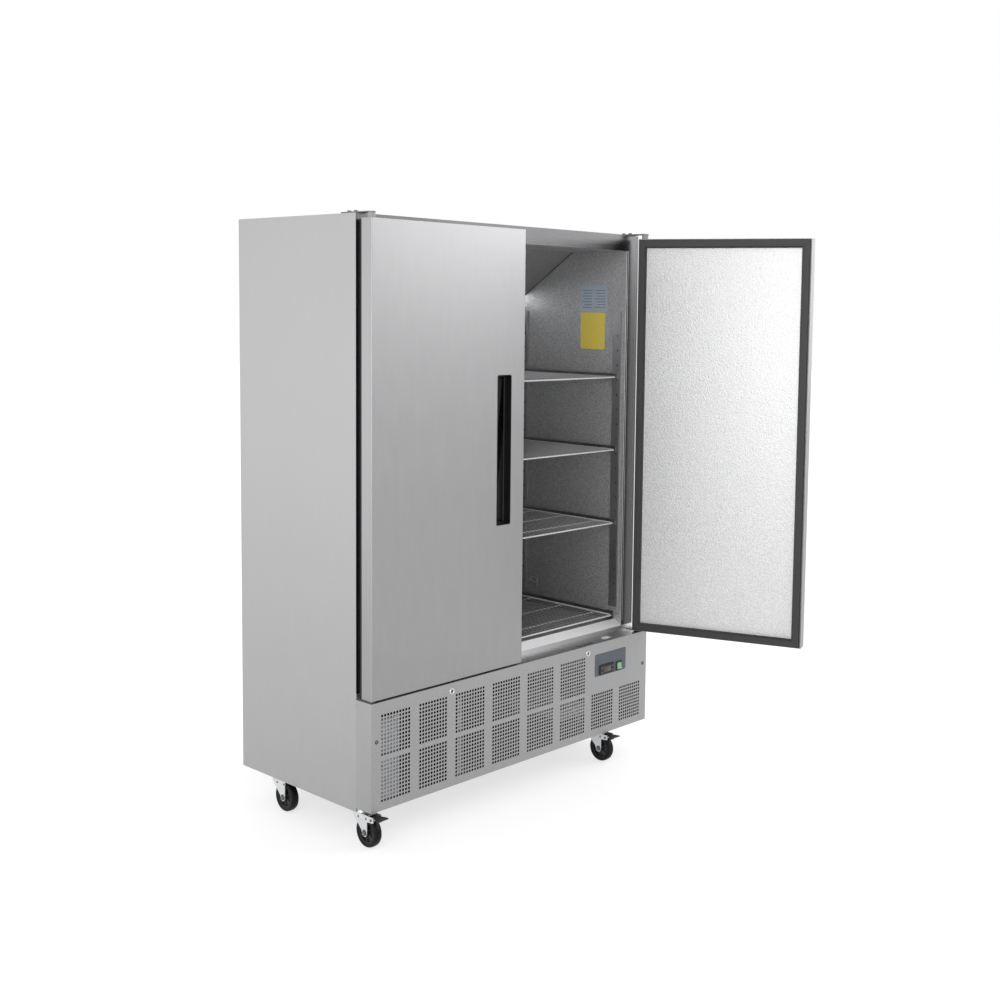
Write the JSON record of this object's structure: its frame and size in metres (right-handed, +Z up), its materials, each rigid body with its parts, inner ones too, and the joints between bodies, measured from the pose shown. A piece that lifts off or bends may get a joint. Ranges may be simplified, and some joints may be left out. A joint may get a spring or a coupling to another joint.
{
  "type": "upright freezer",
  "caption": "Wide upright cabinet freezer with paired hinged doors, wire shelves, a perforated machine panel under the doors and swivel casters.",
  "frame": {"origin": "on the floor, under the middle of the whole freezer as it stands with the right-hand door open", "axes": "+X to the right seen from the front, +Y to the back, +Z up"},
  "size_m": [1.5565, 1.2928, 1.9945],
  "materials": {
    "brushed_casing": "brushed",
    "galvanised_sheet": "spangled zinc",
    "foam": "matt",
    "lining_sheet": "satin",
    "door_lining_sheet": "stucco embossed",
    "gasket_rubber": "matt",
    "black_plastic": "fine grained",
    "controller_plastic": "satin",
    "button_plastic": "satin",
    "green_plastic": "gloss",
    "white_plastic": "satin",
    "chrome_lock": "polished",
    "zinc_plate": "bright zinc",
    "screw_steel": "zinc",
    "rail_steel": "satin",
    "shelf_wire": "grey plastic coat",
    "fin_aluminium": "satin",
    "compressor_black": "satin",
    "copper_pipe": "satin",
    "wheel_rubber": "matt",
    "lamp_plastic": "diffusing",
    "plate_aluminium": "satin"
  },
  "bodies": {
    "cabinet": {"base_pan": "galvanised_sheet", "caster_heads": "zinc_plate", "cold_fan_rings": "black_plastic", "compressor": "compressor_black", "condenser": "fin_aluminium", "condenser_frame": "galvanised_sheet", "control_plate": "plate_aluminium", "door_wedge": "white_plastic", "evaporating_tray": "white_plastic", "evaporator_coil": "fin_aluminium", "evaporator_cover": "lining_sheet", "front_frame": "brushed_casing", "hinge_bushes": "white_plastic", "hinge_plates": "zinc_plate", "insulation": "foam", "interior_lamp": "lamp_plastic", "lining": "lining_sheet", "lock_barrels": "chrome_lock", "lower_panel": "brushed_casing", "rear_guard": "galvanised_sheet", "rear_wrap": "galvanised_sheet", "refrigerant_pipes": "copper_pipe", "rocker_case": "black_plastic", "screws": "screw_steel", "shelf_rails": "rail_steel", "shelves_left": "shelf_wire", "shelves_right": "shelf_wire", "side_panels": "brushed_casing", "thermostat": "controller_plastic", "uprights": "rail_steel"},
    "door_left": {"door_skin_left": "brushed_casing", "door_foam_left": "foam", "door_inner_left": "door_lining_sheet", "gasket_left": "gasket_rubber", "grip_left": "black_plastic"},
    "lock_left": {"lock_plug_left": "chrome_lock"},
    "evaporator_fan_left": {"cold_fan_left": "black_plastic"},
    "door_right": {"door_skin_right": "brushed_casing", "door_foam_right": "foam", "door_inner_right": "door_lining_sheet", "gasket_right": "gasket_rubber", "grip_right": "black_plastic"},
    "lock_right": {"lock_plug_right": "chrome_lock"},
    "evaporator_fan_right": {"cold_fan_right": "black_plastic"},
    "rocker_switch": {"rocker": "green_plastic"},
    "set_button": {"button_set": "button_plastic"},
    "defrost_button": {"button_defrost": "button_plastic"},
    "up_button": {"button_up": "button_plastic"},
    "down_button": {"button_down": "button_plastic"},
    "condenser_fan_wheel": {"condenser_fan": "fin_aluminium"},
    "caster_front_left": {"fork_front_left": "zinc_plate"},
    "roller_front_left": {"wheel_front_left": "wheel_rubber"},
    "brake_front_left": {"pedal_front_left": "black_plastic"},
    "caster_front_right": {"fork_front_right": "zinc_plate"},
    "roller_front_right": {"wheel_front_right": "wheel_rubber"},
    "brake_front_right": {"pedal_front_right": "black_plastic"},
    "caster_rear_left": {"fork_rear_left": "zinc_plate"},
    "roller_rear_left": {"wheel_rear_left": "wheel_rubber"},
    "caster_rear_right": {"fork_rear_right": "zinc_plate"},
    "roller_rear_right": {"wheel_rear_right": "wheel_rubber"}
  },
  "joints": [
    {"name": "door_left_hinge", "type": "hinge", "parent": "cabinet", "child": "door_left", "pos_m": [-0.75657, -0.02859, 0.4775], "axis": [0, 0, -1], "range_deg": [0, 115]},
    {"name": "door_right_hinge", "type": "hinge", "parent": "cabinet", "child": "door_right", "pos_m": [0.54343, -0.02859, 0.4775], "axis": [0, 0, 1], "range_deg": [-109.5, 5.5]},
    {"name": "lock_left_turn", "type": "hinge", "parent": "cabinet", "child": "lock_left", "pos_m": [-0.44157, -0.05359, 0.4445], "axis": [0, -1, 0], "range_deg": [0, 90]},
    {"name": "lock_right_turn", "type": "hinge", "parent": "cabinet", "child": "lock_right", "pos_m": [0.22843, -0.05359, 0.4445], "axis": [0, 1, 0], "range_deg": [0, 90]},
    {"name": "rocker_tilt", "type": "hinge", "parent": "cabinet", "child": "rocker_switch", "pos_m": [0.40143, -0.05579, 0.3665], "axis": [1, 0, 0], "range_deg": [0, 24]},
    {"name": "set_press", "type": "slide", "parent": "cabinet", "child": "set_button", "axis": [0, 1, 0], "range_m": [0, 0.0007], "stiffness_N_per_m": 300, "springref_m": -0.001},
    {"name": "defrost_press", "type": "slide", "parent": "cabinet", "child": "defrost_button", "axis": [0, 1, 0], "range_m": [0, 0.0007], "stiffness_N_per_m": 300, "springref_m": -0.001},
    {"name": "up_press", "type": "slide", "parent": "cabinet", "child": "up_button", "axis": [0, 1, 0], "range_m": [0, 0.0007], "stiffness_N_per_m": 300, "springref_m": -0.001},
    {"name": "down_press", "type": "slide", "parent": "cabinet", "child": "down_button", "axis": [0, 1, 0], "range_m": [0, 0.0007], "stiffness_N_per_m": 300, "springref_m": -0.001},
    {"name": "condenser_fan_spin", "type": "hinge", "parent": "cabinet", "child": "condenser_fan_wheel", "pos_m": [-0.56657, 0.05141, 0.281], "axis": [0, -1, 0], "continuous": true},
    {"name": "cold_fan_left_spin", "type": "hinge", "parent": "cabinet", "child": "evaporator_fan_left", "pos_m": [-0.27657, 0.43641, 1.8395], "axis": [0, 0.5436, 0.8393], "continuous": true},
    {"name": "cold_fan_right_spin", "type": "hinge", "parent": "cabinet", "child": "evaporator_fan_right", "pos_m": [0.06343, 0.43641, 1.8395], "axis": [0, 0.5436, 0.8393], "continuous": true},
    {"name": "front_left_swivel", "type": "hinge", "parent": "cabinet", "child": "caster_front_left", "pos_m": [-0.75257, 0.02341, 0.105], "axis": [0, 0, 1], "continuous": true},
    {"name": "front_left_roll", "type": "hinge", "parent": "caster_front_left", "child": "roller_front_left", "pos_m": [-0.75257, -0.01259, 0.05], "axis": [1, 0, 0], "continuous": true},
    {"name": "front_left_brake", "type": "hinge", "parent": "caster_front_left", "child": "brake_front_left", "pos_m": [-0.75257, -0.04459, 0.098], "axis": [1, 0, 0], "range_deg": [0, 12]},
    {"name": "front_right_swivel", "type": "hinge", "parent": "cabinet", "child": "caster_front_right", "pos_m": [0.35943, 0.02341, 0.105], "axis": [0, 0, 1], "continuous": true},
    {"name": "front_right_roll", "type": "hinge", "parent": "caster_front_right", "child": "roller_front_right", "pos_m": [0.35943, -0.01259, 0.05], "axis": [1, 0, 0], "continuous": true},
    {"name": "front_right_brake", "type": "hinge", "parent": "caster_front_right", "child": "brake_front_right", "pos_m": [0.35943, -0.04459, 0.098], "axis": [1, 0, 0], "range_deg": [0, 12]},
    {"name": "rear_left_swivel", "type": "hinge", "parent": "cabinet", "child": "caster_rear_left", "pos_m": [-0.75257, 0.45941, 0.105], "axis": [0, 0, 1], "continuous": true},
    {"name": "rear_left_roll", "type": "hinge", "parent": "caster_rear_left", "child": "roller_rear_left", "pos_m": [-0.75257, 0.42341, 0.05], "axis": [1, 0, 0], "continuous": true},
    {"name": "rear_right_swivel", "type": "hinge", "parent": "cabinet", "child": "caster_rear_right", "pos_m": [0.35943, 0.45941, 0.105], "axis": [0, 0, 1], "continuous": true},
    {"name": "rear_right_roll", "type": "hinge", "parent": "caster_rear_right", "child": "roller_rear_right", "pos_m": [0.35943, 0.42341, 0.05], "axis": [1, 0, 0], "continuous": true}
  ]
}
